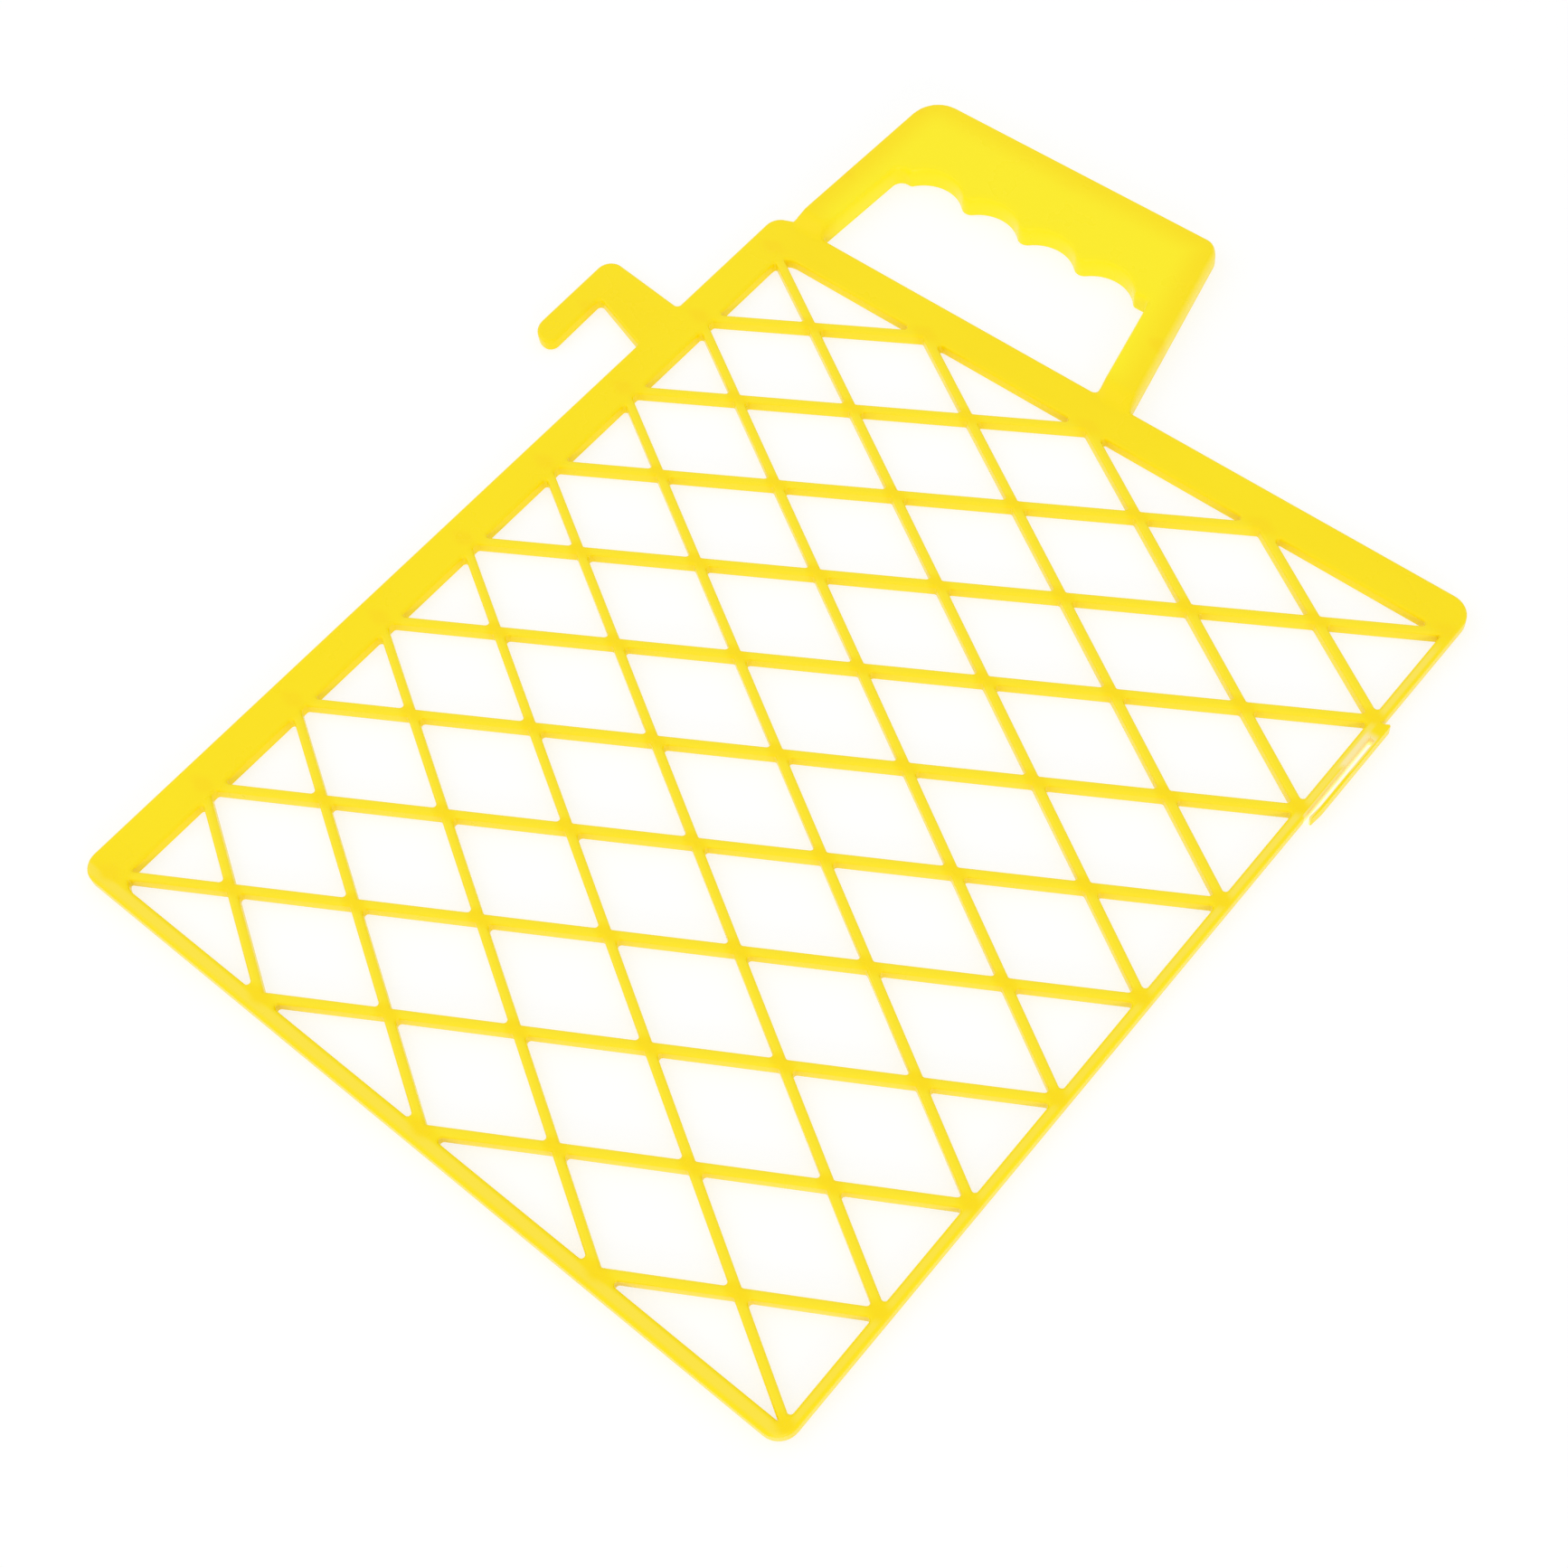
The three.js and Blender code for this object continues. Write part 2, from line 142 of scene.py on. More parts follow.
def rounded(corners, steps=6):
    """A closed outline through corners (x, y, radius), each rounded by an arc."""
    places = [np.array(corner[:2], float) for corner in corners]
    points = []
    for i, corner in enumerate(corners):
        radius = corner[2] if len(corner) > 2 else 0
        if radius == 0:
            points.append(places[i][None])
            continue
        back = places[i - 1] - places[i]
        ahead = places[(i + 1) % len(places)] - places[i]
        back, ahead = back / np.linalg.norm(back), ahead / np.linalg.norm(ahead)
        half = math.acos(np.clip(back @ ahead, -1, 1)) / 2
        middle = (back + ahead) / np.linalg.norm(back + ahead)
        centre = places[i] + middle * radius / math.sin(half)
        start = places[i] + back * radius / math.tan(half) - centre
        first = math.degrees(math.atan2(start[1], start[0]))
        turn = -np.sign(back[0] * ahead[1] - back[1] * ahead[0])
        sweep = turn * (180 - 2 * math.degrees(half))
        points.append(arc(*centre, radius, first, first + sweep, steps))
    return np.concatenate(points)


def divided(loop, step):
    """The same outline with no stretch longer than step."""
    points = []
    for here, there in zip(loop, np.roll(loop, -1, 0)):
        parts = max(1, math.ceil(np.linalg.norm(there - here) / step))
        points.append(here + (there - here) * np.arange(parts)[:, None] / parts)
    return np.concatenate(points)


def x_at(line, y):
    return line[0] + line[1] * y


def groove_edge(offset, ridge, ledge_radius):
    """The grip's lower edge from left to right, moved into the material by that offset.

    It runs from the ledge's left end over the grooves, with a ridge after each, to the
    ledge's right end.
    """
    groove_y, radius = GROOVE_TOP - GROOVE_RADIUS, GROOVE_RADIUS + offset
    reach = radius + ridge
    ridge_y = groove_y + math.sqrt(reach**2 - (GROOVE_PITCH / 2) ** 2)
    lean = math.degrees(math.acos(GROOVE_PITCH / 2 / reach))

    ledge_y, ledge_reach = LEDGE + offset + ledge_radius, radius + ledge_radius
    ledge_x = math.sqrt(ledge_reach**2 - (ledge_y - groove_y) ** 2)
    ledge_lean = math.degrees(math.acos(ledge_x / ledge_reach))

    points = [arc(FIRST_GROOVE_X - ledge_x, ledge_y, ledge_radius, -90, -ledge_lean, 6)]
    for i in range(GROOVES):
        x, last = FIRST_GROOVE_X + i * GROOVE_PITCH, i == GROOVES - 1
        start, end = 180 - (lean if i else ledge_lean), ledge_lean if last else lean
        points.append(arc(x, groove_y, radius, start, end, 16)[1:-1])
        if last:
            points.append(arc(x + ledge_x, ledge_y, ledge_radius, ledge_lean - 180, -90, 6))
        else:
            ridge_x = x + GROOVE_PITCH / 2
            points.append(arc(ridge_x, ridge_y, ridge, lean - 180, -lean, 8))
    return np.concatenate(points)


def outer_outline():
    """The outline of the whole moulding, counter-clockwise."""
    leg_in = HOOK_OUT + HOOK_LEG_WIDTH
    corners = [
        (LEFT_OUT, BOTTOM_OUT, OUTER_CORNER),
        (RIGHT_OUT, BOTTOM_OUT, OUTER_CORNER),
        (RIGHT_OUT, CLIP_BRIDGE_END, CLIP_SLOT_CORNER),
        (CLIP_IN, CLIP_BRIDGE_END, CLIP_SLOT_CORNER),
        (CLIP_IN, CLIP_BEND, CLIP_BEND_RADIUS),
        (CLIP_IN - CLIP_TIP_INSET, CLIP_END, CLIP_TIP_CORNER),
        (CLIP_OUT - CLIP_TIP_INSET, CLIP_END, CLIP_TIP_CORNER),
        (CLIP_OUT, CLIP_BEND, CLIP_BEND_RADIUS),
        (CLIP_OUT, CLIP_TOP, CLIP_TOP_CORNER),
        (RIGHT_OUT, CLIP_TOP - CLIP_TOP_SLANT, CLIP_ROOT_CORNER),
        (RIGHT_OUT, TOP_OUT, TOP_RIGHT_CORNER),
        (x_at(RIGHT_OUTER_EDGE, TOP_OUT), TOP_OUT, LEG_CORNER),
        (x_at(RIGHT_OUTER_EDGE, GRIP_TOP), GRIP_TOP, GRIP_RIGHT_RADIUS),
        (x_at(LEFT_OUTER_EDGE, GRIP_TOP), GRIP_TOP, GRIP_LEFT_RADIUS),
        (x_at(LEFT_OUTER_EDGE, LEFT_LEG_FOOT), LEFT_LEG_FOOT, LEG_CORNER),
        (LEFT_OUT, LEFT_SHOULDER, SHOULDER_CORNER),
        (LEFT_OUT, HOOK_ARM_TOP[0], HOOK_ROOT),
        (HOOK_OUT, HOOK_ARM_TOP[1], HOOK_OUTER_CORNER),
        (HOOK_OUT + HOOK_LEG_LEAN, HOOK_END, HOOK_TIP_OUTER),
        (leg_in + HOOK_LEG_LEAN, HOOK_END, HOOK_TIP_INNER),
        (leg_in, HOOK_ARM_BOTTOM[1], HOOK_ROOT),
        (LEFT_OUT, HOOK_ARM_BOTTOM[0], HOOK_ROOT),
    ]
    return rounded(corners, 10)


def hand_opening():
    """The opening under the grip, clockwise."""
    lower = rounded(
        [
            (x_at(RIGHT_INNER_EDGE, LEDGE), LEDGE, OPENING_CORNER),
            (x_at(RIGHT_INNER_EDGE, TOP_OUT), TOP_OUT, OPENING_CORNER),
            (x_at(LEFT_INNER_EDGE, TOP_OUT), TOP_OUT, OPENING_CORNER),
            (x_at(LEFT_INNER_EDGE, LEDGE), LEDGE, LEDGE_LEFT_CORNER),
        ]
    )
    return np.concatenate([lower, groove_edge(0, RIDGE_RADIUS, LEDGE_RADIUS)])


def clipped(polygon, normal, limit):
    """The part of a convex polygon where the dot product with normal is at least limit."""
    kept = []
    for here, there in zip(polygon, polygon[1:] + polygon[:1]):
        a, b = here @ normal - limit, there @ normal - limit
        if a >= 0:
            kept.append(here)
        if a * b < 0:
            kept.append(here + (there - here) * a / (a - b))
    return kept


def lattice_cells():
    """Every opening of the lattice, clockwise: diamonds, and triangles along the rails."""
    rising = np.array([-0.5, math.cos(math.pi / 6)])
    falling = np.array([0.5, math.cos(math.pi / 6)])
    spacing = PITCH_Y * math.cos(math.pi / 6)
    inner_frame = rounded(
        [
            (LEFT_IN, BOTTOM_IN, LEFT_INNER_CORNER),
            (RIGHT_IN, BOTTOM_IN, RIGHT_INNER_CORNER),
            (RIGHT_IN, TOP_IN, RIGHT_INNER_CORNER),
            (LEFT_IN, TOP_IN, LEFT_INNER_CORNER),
        ],
        5,
    )
    # The rows of a family are counted downwards from the lattice's corner.
    families = [(rising, range(0, COLUMNS + ROWS)), (falling, range(-COLUMNS, ROWS))]
    cells = []
    for first in families[0][1]:
        for second in families[1][1]:
            cell = list(inner_frame)
            for (normal, rows), row in zip(families, (first, second)):
                above = 0 if row == rows[0] else RIB_WIDTH / 2
                below = 0 if row == rows[-1] else RIB_WIDTH / 2
                cell = clipped(cell, -normal, row * spacing + above)
                cell = clipped(cell, normal, -(row + 1) * spacing + below)
            if len(cell) > 2 and area(np.array(cell)) > SMALLEST_CELL:
                cells.append(filleted(cell[::-1]))
    return cells


def filleted(corners):
    """An outline with every corner rounded by as much of the fillet as its sides can take."""
    sides = [np.linalg.norm(here - corners[i - 1]) for i, here in enumerate(corners)]
    corners = [here for here, side in zip(corners, sides) if side > SHORTEST_SIDE]
    made = []
    for i, here in enumerate(corners):
        back, ahead = corners[i - 1] - here, corners[(i + 1) % len(corners)] - here
        side = min(np.linalg.norm(back), np.linalg.norm(ahead))
        cosine = back @ ahead / np.linalg.norm(back) / np.linalg.norm(ahead)
        radius = FILLET_SHARE * side * math.tan(math.acos(np.clip(cosine, -1, 1)) / 2)
        made.append((*here, min(FILLET, radius)))
    return rounded(made)


def area(loop):
    after = np.roll(loop, -1, 0)
    return (loop[:, 0] * after[:, 1] - loop[:, 1] * after[:, 0]).sum() / 2


def hollow_outline():
    """The hollow under the handle, clockwise."""
    wall, foot = HANDLE_WALL, TOP_OUT + HOLLOW_FOOT
    ledge, top = LEDGE + wall, GRIP_TOP - wall
    left, right = LEFT_INNER_EDGE, RIGHT_INNER_EDGE
    lower = rounded(
        [
            (x_at(right, ledge) + wall, ledge, HOLLOW_LEDGE_CORNER),
            (x_at(right, foot) + wall, foot, HOLLOW_CORNER),
            (x_at(RIGHT_OUTER_EDGE, foot) - wall, foot, HOLLOW_CORNER),
            (x_at(RIGHT_OUTER_EDGE, top) - wall, top, GRIP_RIGHT_RADIUS - wall),
            (x_at(LEFT_OUTER_EDGE, top) + wall, top, GRIP_LEFT_RADIUS - wall),
            (x_at(LEFT_OUTER_EDGE, foot) + wall, foot, HOLLOW_CORNER),
            (x_at(left, foot) - wall, foot, HOLLOW_CORNER),
            (x_at(left, ledge) - wall, ledge, HOLLOW_LEDGE_CORNER),
        ]
    )
    return np.concatenate([lower, groove_edge(wall, HOLLOW_RIDGE, HOLLOW_RIDGE)])[::-1]


# ---- The crown of the handle --------------------------------------------------------


HANDLE_FOOT = TOP_OUT - 3.0
PATHS_END = -5.0


def distance(points, path):
    """The distance from each point to an open path."""
    start, step = path[:-1], np.diff(path, axis=0)
    offset = points[:, None] - start
    along = (offset * step).sum(2) / (step**2).sum(1)
    near = offset - np.clip(along, 0, 1)[..., None] * step
    return np.sqrt((near**2).sum(2).min(1))


def inside(points, loops):
    """True where a point is inside an odd number of the closed loops."""
    count = np.zeros(len(points), int)
    for loop in loops:
        a, b = loop, np.roll(loop, -1, 0)
        above = (a[:, 1] > points[:, None, 1]) != (b[:, 1] > points[:, None, 1])
        rise = np.where(a[:, 1] == b[:, 1], 1, b[:, 1] - a[:, 1])
        x = a[:, 0] + (points[:, None, 1] - a[:, 1]) * (b[:, 0] - a[:, 0]) / rise
        count += (above & (points[:, None, 0] < x)).sum(1)
    return count % 2 == 1


def handle_paths():
    """The handle's outer and inner edges, both running on down across the top rail."""
    outer = rounded(
        [
            (x_at(RIGHT_OUTER_EDGE, PATHS_END), PATHS_END),
            (x_at(RIGHT_OUTER_EDGE, GRIP_TOP), GRIP_TOP, GRIP_RIGHT_RADIUS),
            (x_at(LEFT_OUTER_EDGE, GRIP_TOP), GRIP_TOP, GRIP_LEFT_RADIUS),
            (x_at(LEFT_OUTER_EDGE, PATHS_END), PATHS_END),
        ]
    )
    edge_above = groove_edge(0, RIDGE_RADIUS, LEDGE_RADIUS)
    left_corner = rounded(
        [
            (x_at(LEFT_INNER_EDGE, PATHS_END), PATHS_END),
            (x_at(LEFT_INNER_EDGE, LEDGE), LEDGE, LEDGE_LEFT_CORNER),
            tuple(edge_above[0]),
        ]
    )[:-1]
    right_corner = rounded(
        [
            tuple(edge_above[-1]),
            (x_at(RIGHT_INNER_EDGE, LEDGE), LEDGE, OPENING_CORNER),
            (x_at(RIGHT_INNER_EDGE, PATHS_END), PATHS_END),
        ]
    )[1:]
    return outer, np.concatenate([left_corner, edge_above, right_corner])


OUTER_PATH, INNER_PATH = handle_paths()


def smooth(t):
    """Eases from 0 to 1 as t goes from 0 to 1."""
    t = np.clip(t, 0, 1)
    return t * t * (3 - 2 * t)


def shoulder(gap, width):
    """A quarter ellipse that rises from 0 at the edge to 1 at that width from it."""
    t = np.clip(gap / width, 0, 1)
    return np.sqrt(1 - (1 - t) ** 2)


def crown(points):
    """How far the handle stands above the panel's face, in millimetres."""
    height = np.zeros(len(points))
    near = points[:, 1] > HANDLE_FOOT
    here = points[near]
    if not len(here):
        return height
    on_handle = inside(here, [OUTER_PATH]) & ~inside(here, [INNER_PATH])
    rise = smooth((here[:, 1] - TOP_OUT + RISE_BELOW) / RISE_LENGTH)
    round_over = shoulder(distance(here, OUTER_PATH), SHOULDER)
    round_over *= shoulder(distance(here, INNER_PATH), SHOULDER)
    height[near] = on_handle * rise * round_over * (HANDLE_HEIGHT - THICKNESS)
    return height


# ---- The fused surface --------------------------------------------------------------


class Surface:
    """Points and faces of a mesh, in millimetres."""

    def __init__(self):
        self.points, self.faces = [], []

    def add(self, plan, height):
        """Adds points and gives back their numbers."""
        first = len(self.points)
        self.points.extend(np.column_stack([plan, np.broadcast_to(height, len(plan))]))
        return np.arange(first, first + len(plan))

    def band(self, low, high):
        """Faces between two closed rows of the same number of points."""
        for a, b, c, d in zip(low, np.roll(low, -1), np.roll(high, -1), high):
            self.faces.append((a, b, c, d))

    def cap(self, rings, extra, upwards):
        """Triangles that fill the region to the left of the closed rows of points."""
        numbers = np.concatenate([*rings, extra]).astype(int)
        borders, first = set(), 0
        for ring in rings:
            last = first + len(ring) - 1
            borders |= {(i, i + 1) for i in range(first, last)} | {(last, first)}
            first = last + 1
        plan = [Vector(self.points[i][:2]) for i in numbers]
        made = delaunay_2d_cdt(plan, list(borders), [], 0, 1e-7)
        triangles = [tuple(made[3][i][0] for i in face) for face in made[2]]
        owner = {(t[i - 1], t[i]): t for t in triangles for i in range(3)}
        kept, waiting = set(), [owner[border] for border in borders]
        while waiting:
            triangle = waiting.pop()
            if triangle in kept:
                continue
            kept.add(triangle)
            sides = [(triangle[i - 1], triangle[i]) for i in range(3)]
            waiting += [owner[side[::-1]] for side in sides if side not in borders]
        order = 1 if upwards else -1
        self.faces.extend(tuple(numbers[list(t[::order])]) for t in sorted(kept))


def mitres(loop):
    """For each point, the step that moves both of its edges 1 mm into the material."""
    ahead = np.roll(loop, -1, 0) - loop
    normal = np.stack([-ahead[:, 1], ahead[:, 0]], 1) / np.linalg.norm(ahead, axis=1)[:, None]
    before = np.roll(normal, 1, 0)
    return (normal + before) / (1 + (normal * before).sum(1))[:, None]


def wall(surface, loop, top_round):
    """The side of the moulding along an outline. Gives its lowest and highest rings."""
    step = mitres(loop)
    rings = []
    for angle in np.linspace(0, math.pi / 2, FOOT_STEPS + 1):
        plan = loop + step * BOTTOM_ROUND * (1 - math.sin(angle))
        rings.append(surface.add(plan, BOTTOM_ROUND * (1 - math.cos(angle))))
    for angle in np.linspace(0, math.pi / 2, ROUND_STEPS + 1):
        plan = loop + step * (top_round * (1 - math.cos(angle)))[:, None]
        height = THICKNESS - top_round * (1 - math.sin(angle))
        rings.append(surface.add(plan, height + crown(plan)))
    plan = loop + step * (top_round + SUPPORT)[:, None]
    rings.append(surface.add(plan, THICKNESS + crown(plan)))
    for low, high in zip(rings, rings[1:]):
        surface.band(low, high)
    return rings[0], rings[-1]


def roof_height(plan):
    """The height of the hollow's roof."""
    return THICKNESS + crown(plan) - ROOF_THICKNESS


def hollow(surface, loop):
    """The wall of the hollow under the handle, with a fillet up to its roof."""
    step = mitres(loop)
    rings = []
    for angle in np.linspace(0, math.pi / 2, FOOT_STEPS + 1):
        plan = loop + step * BOTTOM_ROUND * (1 - math.sin(angle))
        rings.append(surface.add(plan, BOTTOM_ROUND * (1 - math.cos(angle))))
    for angle in np.linspace(0, math.pi / 2, ROUND_STEPS + 1):
        plan = loop - step * ROOF_FILLET * (1 - math.cos(angle))
        height = roof_height(plan) - ROOF_FILLET * (1 - math.sin(angle))
        rings.append(surface.add(plan, height))
    for low, high in zip(rings, rings[1:]):
        surface.band(low, high)
    return rings[0], rings[-1]


def filling(loop, holes, margin):
    """A grid of points inside an outline, all at least margin from it and from the holes."""
    low, high = loop.min(0), loop.max(0)
    x, y = np.meshgrid(
        np.arange(low[0], high[0], SURFACE_STEP), np.arange(low[1], high[1], SURFACE_STEP)
    )
    x[1::2] += SURFACE_STEP / 2
    points = np.stack([x.ravel(), y.ravel()], 1)
    points = points[inside(points, [loop, *holes])]
    for path in [loop, *holes]:
        points = points[distance(points, np.concatenate([path, path[:1]])) > margin]
    return points


def fused_surface():
    """The whole moulding as one closed surface."""
    surface = Surface()
    low_rings, high_rings = [], []
    outline = divided(outer_outline(), OUTLINE_STEP)
    openings = [*lattice_cells(), divided(hand_opening(), OUTLINE_STEP)]
    for loop in [outline, *openings]:
        on_clip = loop[:, 0] > RIGHT_OUT + 0.2
        low, high = wall(surface, loop, np.where(on_clip, CLIP_ROUND, TOP_ROUND))
        low_rings.append(low)
        high_rings.append(high)

    low, roof = hollow(surface, divided(hollow_outline(), OUTLINE_STEP))
    margin = TOP_ROUND + SUPPORT + SURFACE_MARGIN
    on_top = filling(OUTER_PATH, [INNER_PATH], margin)
    on_top = on_top[on_top[:, 1] > HANDLE_FOOT]
    opening = np.concatenate([openings[-1], openings[-1][:1]])
    on_top = on_top[distance(on_top, opening) > margin]
    on_roof = filling(hollow_outline(), [], ROOF_FILLET + SURFACE_MARGIN)
    surface.cap(high_rings, surface.add(on_top, THICKNESS + crown(on_top)), True)
    surface.cap([*low_rings, low], [], False)
    surface.cap([roof[::-1]], surface.add(on_roof, roof_height(on_roof)), False)
    return surface


def to_row(points):
    """Millimetres from the lattice's node to metres in the row's frame."""
    return (np.asarray(points, float) + (NODE_X, NODE_Y, 0)) * MM


def mesh_object(name, points, faces):
    """A new object in the scene, from points in millimetres."""
    mesh = bpy.data.meshes.new(name)
    mesh.from_pydata(to_row(points).tolist(), [], [tuple(map(int, f)) for f in faces])
    mesh.validate()
    made = bpy.data.objects.new(name, mesh)
    bpy.context.scene.collection.objects.link(made)
    return made


# ---- Cutting it into the CAD's pieces -----------------------------------------------

# The cutting tools reach past the moulding: from BELOW to ABOVE, and FAR to each side.
BELOW, ABOVE, FAR = -2.0, 12.0, 60.0


def prisms(name, polygons, bottom, top):
    """Upright prisms over counter-clockwise polygons, as one mesh."""
    points, faces = [], []
    for polygon in polygons:
        count, first = len(polygon), len(points)
        points += [(x, y, bottom) for x, y in polygon] + [(x, y, top) for x, y in polygon]
        faces.append([first + i for i in reversed(range(count))])
        faces.append([first + count + i for i in range(count)])
        for i in range(count):
            after = (i + 1) % count
            low, high = (first + i, first + after), (first + count + after, first + count + i)
            faces.append([*low, *high])
    return mesh_object(name, points, faces)


def rectangle(left, low, right, high):
    return [(left, low), (right, low), (right, high), (left, high)]


SEAM_LEFT, SEAM_RIGHT = LEFT_IN + HALF_GAP, RIGHT_IN - HALF_GAP
SEAM_TOP, SEAM_BOTTOM = TOP_IN - HALF_GAP, BOTTOM_IN + HALF_GAP
SEAM_LEG = TOP_OUT + HALF_GAP
HOOK_SEAM, CLIP_SEAM = LEFT_OUT - HALF_GAP, RIGHT_OUT + HALF_GAP
SIDE_SPAN = (-75.0, -25.0)
CORNER_SEAM = STUB_TOP + HALF_GAP


def frame_regions():
    """The plan of each piece that isn't a rib. The hook and the clip both lie within
    SIDE_SPAN along the sides of the panel."""
    far_left, far_right = LEFT_OUT - FAR, RIGHT_OUT + FAR
    far_low, far_high = BOTTOM_OUT - FAR, GRIP_TOP + FAR
    middle = (LEFT_OUT + RIGHT_OUT) / 2 - FAR
    low, high = SIDE_SPAN
    return {
        "left_rail": [
            (far_left, far_low), (SEAM_LEFT, far_low), (SEAM_LEFT, SEAM_LEG),
            (far_left, SEAM_LEG), (far_left, high), (HOOK_SEAM, high),
            (HOOK_SEAM, low), (far_left, low),
        ],
        "hanging_hook": rectangle(far_left, low, HOOK_SEAM, high),
        "top_rail": rectangle(SEAM_LEFT, SEAM_TOP, far_right, SEAM_LEG),
        "right_rail": [
            (SEAM_RIGHT, CORNER_SEAM), (far_right, CORNER_SEAM), (far_right, low),
            (CLIP_SEAM, low), (CLIP_SEAM, high), (far_right, high),
            (far_right, SEAM_TOP), (SEAM_RIGHT, SEAM_TOP),
        ],
        "rim_clip": rectangle(CLIP_SEAM, low, far_right, high),
        "bottom_rail": [
            (SEAM_LEFT, far_low), (far_right, far_low), (far_right, CORNER_SEAM),
            (SEAM_RIGHT, CORNER_SEAM), (SEAM_RIGHT, SEAM_BOTTOM), (SEAM_LEFT, SEAM_BOTTOM),
        ],
        "handle_left_leg": rectangle(far_left, SEAM_LEG, middle, GRIP_SEAM),
        "handle_right_leg": rectangle(middle, SEAM_LEG, far_right, GRIP_SEAM),
        "handle_grip": rectangle(far_left, GRIP_SEAM, far_right, far_high),
    }


PATCH_X, PATCH_Y = RIB_WIDTH, RIB_WIDTH / 2 / math.cos(math.pi / 6)
DIAMOND_SPREAD = 1.002
ON_SURFACE, SAME_WAY, TOWARDS_MIDDLE = 3e-6, 0.7, 0.02


def crossing_patches():
    """The diamond that two crossing ribs share, at every crossing."""
    patches = []
    for i in range(1, 2 * COLUMNS):
        for j in range(1, 2 * ROWS):
            if (i + j) % 2 == 0:
                x, y = i * PITCH_X / 2, -j * PITCH_Y / 2
                patches.append(
                    [(x + PATCH_X, y), (x, y + PATCH_Y), (x - PATCH_X, y), (x, y - PATCH_Y)]
                )
    return patches


def rib_region(rising, index):
    """The plan of one rib. Between two crossings it is the rectangle with the rib as its
    diagonal, and at a crossing it runs on through the diamond that both ribs share."""
    down = -1 if rising else 1
    if rising:
        first, last = max(0, index - ROWS), min(COLUMNS, index)
    else:
        first, last = max(0, -index), min(COLUMNS, ROWS - index)
    steps = 2 * (last - first)
    x = [(first + i / 2) * PITCH_X for i in range(steps + 1)]
    start = (index - first) if rising else (index + first)
    y = [-(start + down * i / 2) * PITCH_Y for i in range(steps + 1)]
    x[0], x[-1] = max(x[0], SEAM_LEFT), min(x[-1], SEAM_RIGHT)
    y = [min(max(value, SEAM_BOTTOM), SEAM_TOP) for value in y]
    towards = 1 if rising else -1
    below, above = [(x[0], y[0])], [(x[0], y[0])]
    for i in range(1, steps + 1):
        below.append((x[i], y[i - 1]))
        above.append((x[i - 1], y[i]))
        if i < steps:
            below += [(x[i], y[i] - towards * PATCH_Y), (x[i] + PATCH_X, y[i])]
            above += [(x[i] - PATCH_X, y[i]), (x[i], y[i] + towards * PATCH_Y)]
    path = below + [(x[-1], y[-1])] + above[:0:-1]
    return path if rising else path[::-1]


def cut(name, source, steps):
    """A new object: the source mesh after each (operation, tool) in turn."""
    made = bpy.data.objects.new(name, source.data)
    bpy.context.scene.collection.objects.link(made)
    for operation, tool in steps:
        boolean = made.modifiers.new(operation, "BOOLEAN")
        boolean.operation, boolean.object, boolean.solver = operation, tool, "MANIFOLD"
    graph = bpy.context.evaluated_depsgraph_get()
    made.data = bpy.data.meshes.new_from_object(made.evaluated_get(graph))
    made.modifiers.clear()
    made.data.name = name
    return made


class SmoothSurface:
    """The fused surface with a normal at each vertex, weighted by the faces' areas."""

    def __init__(self, mesh):
        mesh.calc_loop_triangles()
        self.points = [vertex.co.copy() for vertex in mesh.vertices]
        self.triangles = [tuple(t.vertices) for t in mesh.loop_triangles]
        self.tree = BVHTree.FromPolygons(self.points, self.triangles)
        places, corners = np.array(self.points), np.array(self.triangles)
        a, b, c = (places[corners[:, i]] for i in range(3))
        across = np.cross(b - a, c - a)
        normals = np.zeros_like(places)
        for i in range(3):
            np.add.at(normals, corners[:, i], across)
        self.normals = [Vector(normal).normalized() for normal in normals / MM**2]

    def normal(self, place, beside):
        """The normal at a place, on the face of the surface that is nearest to beside."""
        triangle = self.triangles[self.tree.find_nearest(beside)[2]]
        weights = poly_3d_calc([self.points[i] for i in triangle], place)
        summed = Vector()
        for weight, i in zip(weights, triangle):
            summed += weight * self.normals[i]
        return summed.normalized()

    def shade(self, piece):
        """Gives a piece the surface's normals. The faces along its cuts stay flat."""
        mesh = piece.data
        mesh.shade_smooth()
        chosen = [None] * len(mesh.loops)
        for polygon in mesh.polygons:
            _, facing, _, gap = self.tree.find_nearest(polygon.center)
            cut_face = gap > ON_SURFACE or facing.dot(polygon.normal) < SAME_WAY
            for loop in polygon.loop_indices:
                place = mesh.vertices[mesh.loops[loop].vertex_index].co
                beside = place.lerp(polygon.center, TOWARDS_MIDDLE)
                chosen[loop] = polygon.normal if cut_face else self.normal(place, beside)
        mesh.normals_split_custom_set(chosen)


def rib_pieces(fused):
    """Each rib, halved into the ribs that it crosses: rising ribs keep the upper half."""
    diamonds = []
    for patch in crossing_patches():
        middle = np.mean(patch, 0)
        diamonds.append(((np.array(patch) - middle) * DIAMOND_SPREAD + middle).tolist())
    lower = prisms("lower_halves", diamonds, BELOW, THICKNESS / 2)
    upper = prisms("upper_halves", diamonds, THICKNESS / 2, ABOVE)
    made = {}
    families = [("rib_rising", True, 1, lower), ("rib_falling", False, 1 - COLUMNS, upper)]
    for family, rising, first, halves in families:
        for i in range(COLUMNS + ROWS - 1):
            node = f"{family}_{i + 1:02d}"
            region = prisms("region", [rib_region(rising, first + i)], BELOW, ABOVE)
            steps = [("INTERSECT", region), ("DIFFERENCE", halves)]
            made[node] = cut(node + "_plastic", fused, steps)
            bpy.data.objects.remove(region)
    for halves in (lower, upper):
        bpy.data.objects.remove(halves)
    return made


